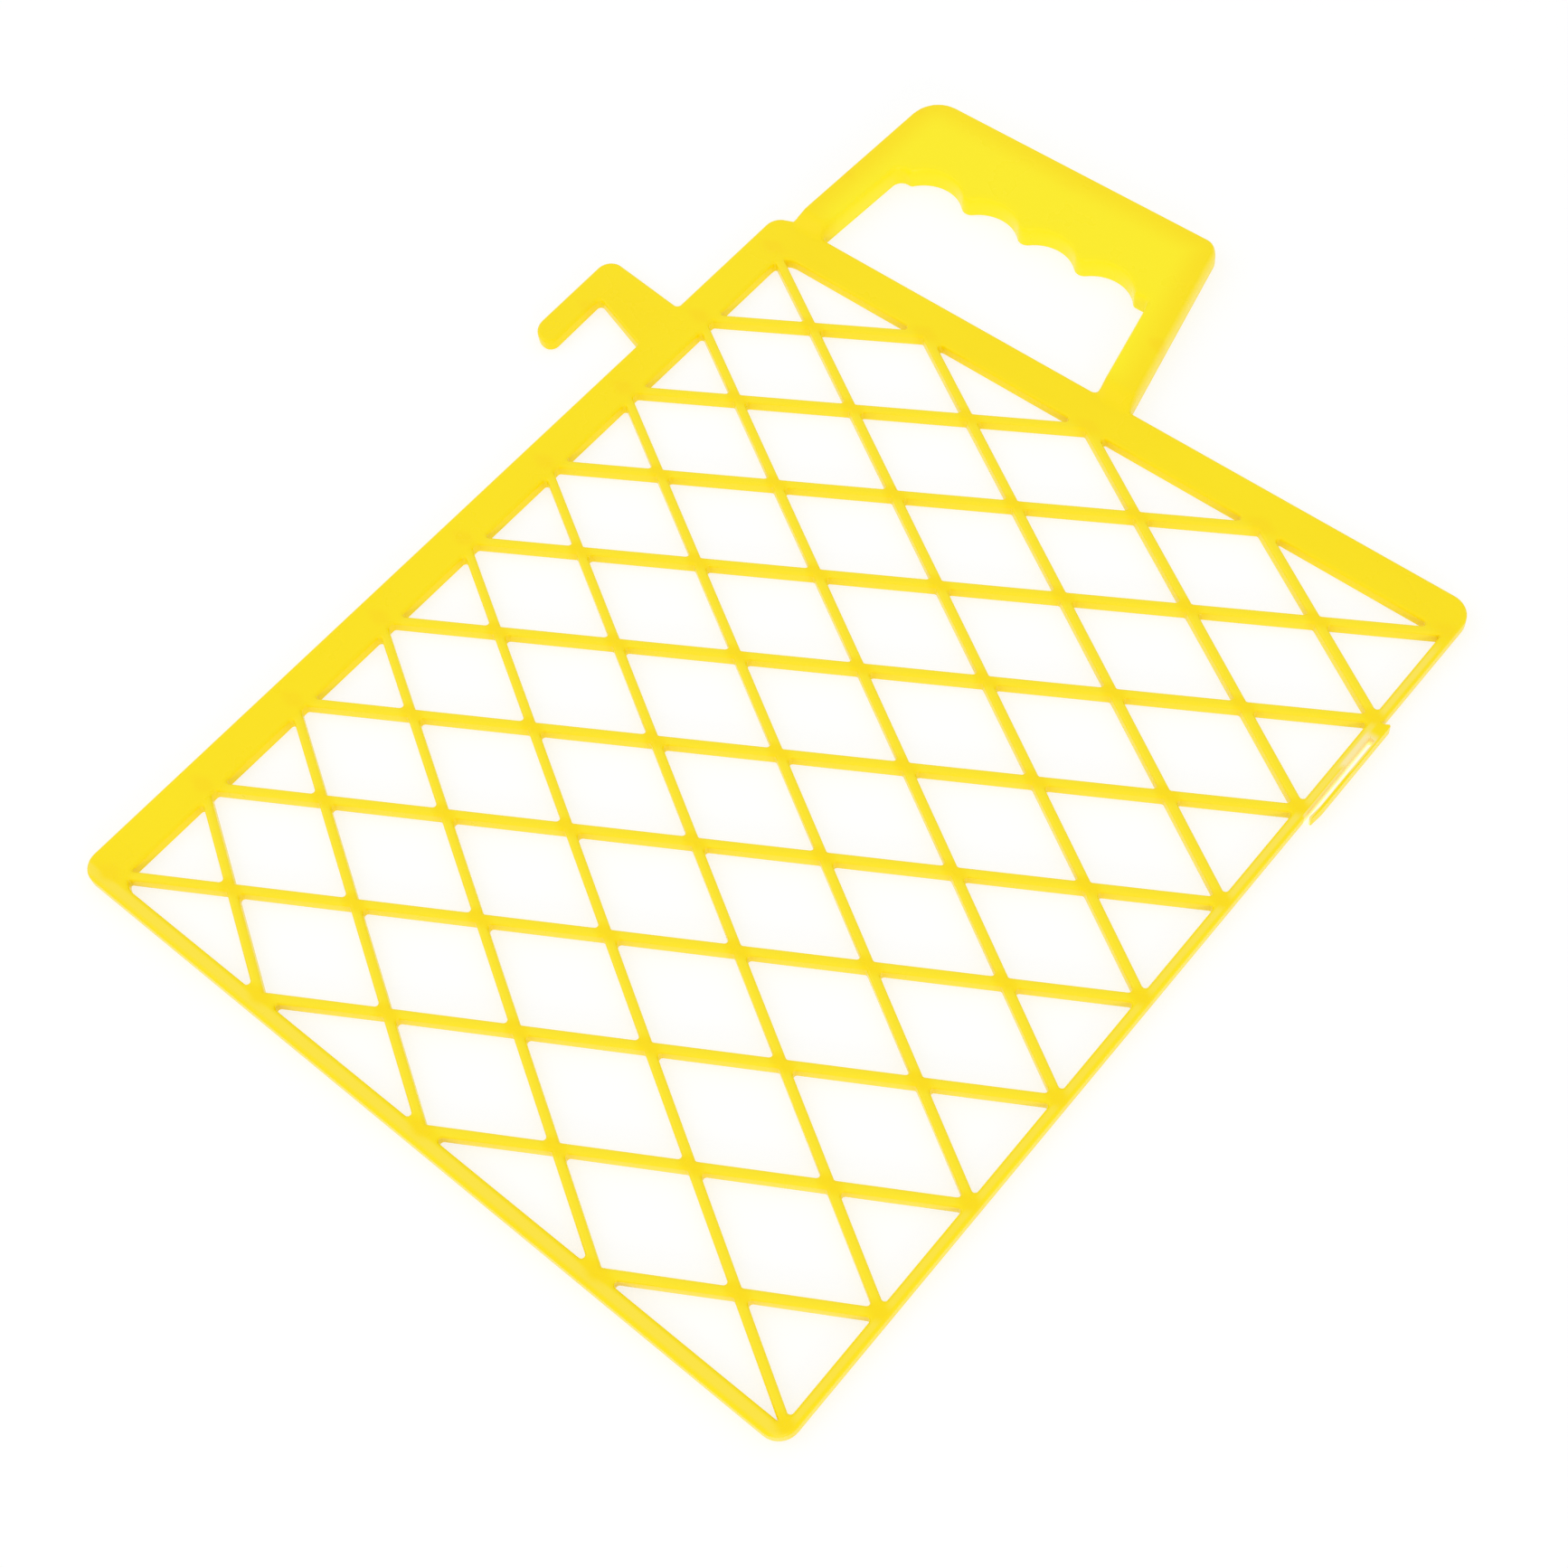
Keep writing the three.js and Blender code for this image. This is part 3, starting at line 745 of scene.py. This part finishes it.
def frame_pieces(fused):
    """The rails, the handle's pieces, the hook and the clip."""
    made = {}
    for node, outline in frame_regions().items():
        region = prisms("region", [outline], BELOW, ABOVE)
        made[node] = cut(node + "_plastic", fused, [("INTERSECT", region)])
        bpy.data.objects.remove(region)
    return made


# ---- Material -----------------------------------------------------------------------

DEEP_YELLOW = (0.965, 0.745, 0.0, 1)
YELLOW = (0.97, 0.765, 0.001, 1)
# Painted light: the pale yellow of the handle's thin roof, where light would shine through the
# plastic.
PALE_YELLOW = (0.985, 0.84, 0.008, 1)
# The next two: painted light on the thinner ribs, and painted shade at the thicker nodes, where
# less light comes through the plastic.
RIB_YELLOW = (0.965, 0.775, 0.018, 1)
KNOT_YELLOW = (0.965, 0.715, 0.0, 1)
# A painted highlight along the middles of the rail tops.
RAIL_HIGHLIGHT_YELLOW = (0.965, 0.775, 0.085, 1)
# A painted highlight on the rail beside the clip, also painted into the clip's slot as light.
CLIP_LIGHT_YELLOW = (0.965, 0.81, 0.36, 1)
SPECK_BROWN = (0.25, 0.14, 0.02, 1)
WHITE, FLOOR_GREY = (1, 1, 1, 1), (0.32, 0.32, 0.32, 1)

# Where the tints and the painted light, shade and highlights lie, in millimetres.
PALE_START, PALE_REACH = 1.5, 9.0
KNOT_CORE, KNOT_REACH = 0.8, 3.6
RIB_FADE = 3.0
RIGHT_STREAK, RIGHT_STREAK_FADE = (-0.4, 0.3), 0.7
RIGHT_STREAK_FALL, RIGHT_STREAK_END = (-160, -40), (-9, -3)
BOTTOM_STREAK, BOTTOM_STREAK_FADE = (-0.6, 0.6), 1.0
HIGHLIGHT_INSET, HIGHLIGHT_FADE = 1.1, 0.6
HIGHLIGHT_REACH, HIGHLIGHT_REACH_FADE = (9.5, 0.8), 3.0
SLOT_INSET, SLOT_FADE, SLOT_END_FADE = 0.3, 0.3, 1.0
SLOT_GLOW, GLOW_HEIGHT = 0.42, 3.2

# How strongly each tint and each painted light, shade and highlight is mixed in.
RIB_SHARE, KNOT_SHARE, SPECK_SHARE, SLOT_SHARE = 0.8, 0.9, 0.6, 0.7
RIGHT_STREAK_LEAST, BOTTOM_STREAK_SHARE = 0.5, 0.55

# Noise scales, per metre, and the plastic's finish.
CLOUD_SCALE, SPECK_SCALE, SMEAR_SCALE, GRAIN_SCALE, SINK_SCALE = 22.0, 110.0, 60.0, 900.0, 75.0
SPECK_SIZE, SPECK_RARITY = 0.03, 0.985
SMOOTHEST, ROUGHEST = 0.26, 0.36
SINK_BUMP = {"Strength": 0.03, "Distance": 0.0004}
GRAIN_BUMP = {"Strength": 0.12, "Distance": 0.00004}
PLASTIC_IOR, SPECULAR_LEVEL = 1.49, 0.24


def roof_light_share(points):
    """Painted light through the handle's thin roof: 0 along its outer wall, rising to 1 over the
    thin roof further in.
    """
    share = np.zeros(len(points))
    near = points[:, 1] > HANDLE_FOOT
    here = points[near]
    if len(here):
        inwards = smooth((distance(here, OUTER_PATH) - PALE_START) / PALE_REACH)
        share[near] = inwards * smooth((here[:, 1] - TOP_OUT) / PALE_REACH)
    return share


def paint(piece):
    """Stores the painted light of the handle's thin roof on a piece, for its material."""
    mesh = piece.data
    points = np.zeros(len(mesh.vertices) * 3)
    mesh.vertices.foreach_get("co", points)
    plan = points.reshape(-1, 3)[:, :2] / MM - (NODE_X, NODE_Y)
    attribute = mesh.attributes.new("painted_roof_light", "FLOAT", "POINT")
    attribute.data.foreach_set("value", roof_light_share(plan))


class Nodes:
    """Short ways to add and join shader nodes."""

    def __init__(self, material):
        material.use_nodes = True
        self.tree = material.node_tree
        self.tree.nodes.clear()

    def add(self, kind, inputs=(), **settings):
        node = self.tree.nodes.new(kind)
        for name, value in settings.items():
            setattr(node, name, value)
        for name, value in dict(inputs).items():
            if isinstance(value, bpy.types.NodeSocket):
                self.tree.links.new(value, node.inputs[name])
            else:
                node.inputs[name].default_value = value
        return node

    def math(self, operation, *values):
        return self.add("ShaderNodeMath", dict(enumerate(values)), operation=operation).outputs[0]

    def mix(self, factor, first, second):
        inputs = {"Factor": factor, 6: first, 7: second}
        return self.add("ShaderNodeMix", inputs, data_type="RGBA").outputs[2]

    def noise(self, place, scale, detail=2.0, **inputs):
        inputs = {"Vector": place, "Scale": scale, "Detail": detail, **inputs}
        return self.add("ShaderNodeTexNoise", inputs).outputs["Fac"]

    def remap(self, value, low, high, to_low, to_high):
        inputs = {0: value, 1: low, 2: high, 3: to_low, 4: to_high}
        node = self.add("ShaderNodeMapRange", inputs, interpolation_type="SMOOTHSTEP")
        return node.outputs[0]


def plan_from_node(nodes, place):
    """The place in the plane, in metres from the lattice's top left node."""
    from_node = {0: place, 1: (NODE_X * MM, NODE_Y * MM, 0)}
    return nodes.add("ShaderNodeVectorMath", from_node, operation="SUBTRACT").outputs[0]


def lattice_shares(nodes, plan):
    """Shader values that are 1 at the lattice's nodes, and 1 on the ribs between them; they place
    the painted shade of the thick nodes and the painted light of the thinner ribs.
    """
    spacing = PITCH_Y * math.cos(math.pi / 6) * MM
    knots = 1.0
    for lean in (0.5, -0.5):
        across = {0: plan, 1: (lean / spacing, math.cos(math.pi / 6) / spacing, 0)}
        rows = nodes.add("ShaderNodeVectorMath", across, operation="DOT_PRODUCT").outputs[1]
        gap = nodes.math("PINGPONG", rows, 0.5)
        near = nodes.remap(gap, KNOT_CORE * MM / spacing, KNOT_REACH * MM / spacing, 1, 0)
        knots = nodes.math("MULTIPLY", knots, near)
    ribs = nodes.math("SUBTRACT", 1.0, knots)
    x_y = nodes.add("ShaderNodeSeparateXYZ", {0: plan}).outputs
    for value, start, end in (
        (x_y[0], LEFT_IN, LEFT_IN + RIB_FADE),
        (x_y[0], RIGHT_IN, RIGHT_IN - RIB_FADE),
        (x_y[1], BOTTOM_IN, BOTTOM_IN + RIB_FADE),
        (x_y[1], TOP_IN, TOP_IN - RIB_FADE),
    ):
        low, high = sorted((start, end))
        rising = (0, 1) if start < end else (1, 0)
        ribs = nodes.math("MULTIPLY", ribs, nodes.remap(value, low * MM, high * MM, *rising))
    return knots, ribs


def stripe(nodes, value, start, end, fade):
    """A shader value that is 1 from start to end, in millimetres, and fades to 0 outside."""
    share = nodes.remap(value, (start - fade) * MM, start * MM, 0, 1)
    fall = nodes.remap(value, end * MM, (end + fade) * MM, 1, 0)
    return nodes.math("MULTIPLY", share, fall)


def painted_rail_highlights(nodes, x, y, between):
    """A painted highlight along the middles of the two thin rails, between the nodes of the
    lattice.
    """
    middle = (RIGHT_IN + RIGHT_OUT) / 2
    start, end = RIGHT_STREAK
    right = stripe(nodes, x, middle + start, middle + end, RIGHT_STREAK_FADE)
    low, high = RIGHT_STREAK_FALL
    fall = nodes.remap(y, low * MM, high * MM, RIGHT_STREAK_LEAST, 1)
    right = nodes.math("MULTIPLY", right, fall)
    middle = (BOTTOM_IN + BOTTOM_OUT) / 2
    start, end = BOTTOM_STREAK
    bottom = stripe(nodes, y, middle + start, middle + end, BOTTOM_STREAK_FADE)
    bottom = nodes.math("MULTIPLY", bottom, BOTTOM_STREAK_SHARE)
    low, high = RIGHT_STREAK_END
    right = nodes.math("MULTIPLY", right, nodes.remap(y, low * MM, high * MM, 1, 0))
    return nodes.math("MULTIPLY", nodes.math("MAXIMUM", right, bottom), between)


def clip_shares(nodes, x, y):
    """A painted highlight on the rail beside the clip, and the clip's slot, where painted light
    makes the colour paler.
    """
    far, near = HIGHLIGHT_REACH
    # A painted highlight on the rail beside the clip.
    bridge_highlight = nodes.math(
        "MULTIPLY",
        stripe(nodes, x, RIGHT_OUT - HIGHLIGHT_INSET, CLIP_IN, HIGHLIGHT_FADE),
        stripe(nodes, y, CLIP_BRIDGE_END - far, CLIP_BRIDGE_END - near, HIGHLIGHT_REACH_FADE),
    )
    slot = nodes.math(
        "MULTIPLY",
        stripe(nodes, x, RIGHT_OUT - SLOT_INSET, CLIP_IN, SLOT_FADE),
        stripe(nodes, y, CLIP_END, CLIP_BRIDGE_END, SLOT_END_FADE),
    )
    # The slot is painted paler as well, for light that would come through the plastic.
    clip_painted_light = nodes.math("MAXIMUM", bridge_highlight, nodes.math("MULTIPLY", slot, SLOT_SHARE))
    return clip_painted_light, slot


def specked(nodes, place, colour):
    """The colour with small dark specks of burnt resin, a few over the whole part."""
    cells = nodes.add("ShaderNodeTexVoronoi", {"Vector": place, "Scale": SPECK_SCALE})
    chosen = nodes.add("ShaderNodeSeparateColor", {0: cells.outputs["Color"]}).outputs[0]
    speck = nodes.math("LESS_THAN", cells.outputs["Distance"], SPECK_SIZE)
    speck = nodes.math("MULTIPLY", speck, nodes.math("GREATER_THAN", chosen, SPECK_RARITY))
    return nodes.mix(nodes.math("MULTIPLY", speck, SPECK_SHARE), colour, SPECK_BROWN)


def relief(nodes, place):
    """The normal over shallow sinks and a fine grain."""
    grain = nodes.noise(place, GRAIN_SCALE, 2.0)
    sinks = nodes.noise(place, SINK_SCALE, 1.0)
    sunk = nodes.add("ShaderNodeBump", {"Height": sinks, **SINK_BUMP}).outputs[0]
    return nodes.add("ShaderNodeBump", {"Height": grain, "Normal": sunk, **GRAIN_BUMP}).outputs[0]


def yellow_plastic():
    """Glossy injection-moulded polypropylene. Its colour holds painted light: paler where the
    plastic is thin, deeper at the lattice's nodes, highlights along the rails and beside the
    clip, and a glow in the clip's slot.
    """
    material = bpy.data.materials.new("yellow_polypropylene")
    nodes = Nodes(material)
    place = nodes.add("ShaderNodeTexCoord").outputs["Object"]
    height = nodes.add("ShaderNodeSeparateXYZ", {0: place}).outputs[2]
    plan = plan_from_node(nodes, place)
    x, y = nodes.add("ShaderNodeSeparateXYZ", {0: plan}).outputs[:2]
    # The share of painted light through the handle's thin roof, deeper along its outer wall.
    thin = nodes.add("ShaderNodeAttribute", attribute_name="painted_roof_light").outputs["Fac"]
    knots, ribs = lattice_shares(nodes, plan)
    rail_highlights = painted_rail_highlights(nodes, x, y, nodes.math("SUBTRACT", 1.0, knots))
    clip_painted_light, slot = clip_shares(nodes, x, y)

    clouds = nodes.noise(place, CLOUD_SCALE)
    colour = nodes.mix(nodes.remap(clouds, 0.3, 0.7, 0, 1), DEEP_YELLOW, YELLOW)
    # Painted light and shade: the ribs paler, as light shines through their thinner plastic, and
    # the nodes deeper, where the plastic is thick.
    colour = nodes.mix(nodes.math("MULTIPLY", ribs, RIB_SHARE), colour, RIB_YELLOW)
    colour = nodes.mix(nodes.math("MULTIPLY", knots, KNOT_SHARE), colour, KNOT_YELLOW)
    # Painted light: paler over the handle's thin roof, where light would shine through.
    colour = nodes.mix(thin, colour, PALE_YELLOW)
    # Painted highlights along the middles of the right and bottom rails.
    colour = nodes.mix(rail_highlights, colour, RAIL_HIGHLIGHT_YELLOW)
    # A painted highlight beside the clip, and painted light in its slot.
    colour = nodes.mix(clip_painted_light, colour, CLIP_LIGHT_YELLOW)
    colour = specked(nodes, place, colour)

    # A painted glow: the slot's plastic emits light, standing in for light that passes through
    # the plastic into the narrow slot, strongest near the floor.
    glow = nodes.remap(height, 0.0, GLOW_HEIGHT * MM, SLOT_GLOW, 0.0)
    smears = nodes.noise(place, SMEAR_SCALE, 4.0)
    shader = nodes.add(
        "ShaderNodeBsdfPrincipled",
        {
            "Base Color": colour,
            "Roughness": nodes.remap(smears, 0.3, 0.75, SMOOTHEST, ROUGHEST),
            "IOR": PLASTIC_IOR,
            "Specular IOR Level": SPECULAR_LEVEL,
            "Normal": relief(nodes, place),
            "Emission Color": colour,
            "Emission Strength": nodes.math("MULTIPLY", slot, glow),
        },
    )
    nodes.add("ShaderNodeOutputMaterial", {"Surface": shader.outputs[0]})
    return material


# ---- The moulding -------------------------------------------------------------------

surface = fused_surface()
fused = mesh_object("fused_moulding", surface.points, surface.faces)
smooth_surface = SmoothSurface(fused.data)
pieces = {**frame_pieces(fused), **rib_pieces(fused)}
bpy.data.objects.remove(fused)

plastic = yellow_plastic()
for node, piece in pieces.items():
    smooth_surface.shade(piece)
    paint(piece)
    piece.data.materials.clear()
    piece.data.materials.append(plastic)
    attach(piece, "root")
    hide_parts(node)

# ---- Floor, light and camera --------------------------------------------------------


FLOOR_HALF, FLOOR_BELOW = 3.0, 0.0002
FLOOR_ROUGHNESS, FLOOR_GLOW, SKY_STRENGTH = 0.6, 0.69, 0.915
CAMERA_PLACE = (0.2593, -0.24695, 0.5175)
CAMERA_AZIMUTH, CAMERA_ELEVATION, CAMERA_ROLL = -41.21, 58.58, -9.93
CAMERA_LENS, CAMERA_SENSOR = 56.0, 36.0


def light_table():
    """A plain pale floor that is lit from within, like a light table."""
    material = bpy.data.materials.new("white_floor")
    nodes = Nodes(material)
    inputs = {
        "Base Color": FLOOR_GREY,
        "Roughness": FLOOR_ROUGHNESS,
        "Emission Color": WHITE,
        "Emission Strength": FLOOR_GLOW,
        "Specular IOR Level": 0,
    }
    shader = nodes.add("ShaderNodeBsdfPrincipled", inputs)
    nodes.add("ShaderNodeOutputMaterial", {"Surface": shader.outputs[0]})
    return material


def floor():
    """A large square just under the part."""
    corners = [(x, y, 0) for x, y in rectangle(-FLOOR_HALF, -FLOOR_HALF, FLOOR_HALF, FLOOR_HALF)]
    mesh = bpy.data.meshes.new("floor")
    mesh.from_pydata(corners, [], [(0, 1, 2, 3)])
    mesh.materials.append(light_table())
    made = bpy.data.objects.new("floor", mesh)
    made.location.z = -FLOOR_BELOW
    bpy.context.scene.collection.objects.link(made)
    return made


def softbox(name, place, size, power):
    """A square light that faces the part."""
    light = bpy.data.lights.new(name, "AREA")
    light.shape, light.size, light.energy = "SQUARE", size, power
    made = bpy.data.objects.new(name, light)
    made.location = place
    made.rotation_euler = (-Vector(place)).to_track_quat("-Z", "Y").to_euler()
    bpy.context.scene.collection.objects.link(made)


def white_sky():
    """An even white light from all around."""
    world = bpy.data.worlds.new("studio")
    world.use_nodes = True
    background = world.node_tree.nodes["Background"]
    background.inputs["Color"].default_value = WHITE
    background.inputs["Strength"].default_value = SKY_STRENGTH
    return world


def camera():
    """The camera, turned to its azimuth and elevation and rolled about its own axis."""
    data = bpy.data.cameras.new("camera")
    data.lens, data.sensor_width = CAMERA_LENS, CAMERA_SENSOR
    made = bpy.data.objects.new("camera", data)
    turn = Matrix.Rotation(math.radians(CAMERA_AZIMUTH + 90), 4, "Z")
    turn @= Matrix.Rotation(math.radians(90 - CAMERA_ELEVATION), 4, "X")
    turn @= Matrix.Rotation(math.radians(CAMERA_ROLL), 4, "Z")
    made.matrix_world = Matrix.Translation(CAMERA_PLACE) @ turn
    bpy.context.scene.collection.objects.link(made)
    return made


floor()
softbox("key_light", (1.35, -1.0, 0.6), size=0.25, power=3.2)
softbox("left_fill", (-1.3, -0.7, 1.2), size=1.2, power=3)
scene = bpy.context.scene
scene.world = white_sky()
scene.view_settings.view_transform = "Standard"
scene.camera = camera()
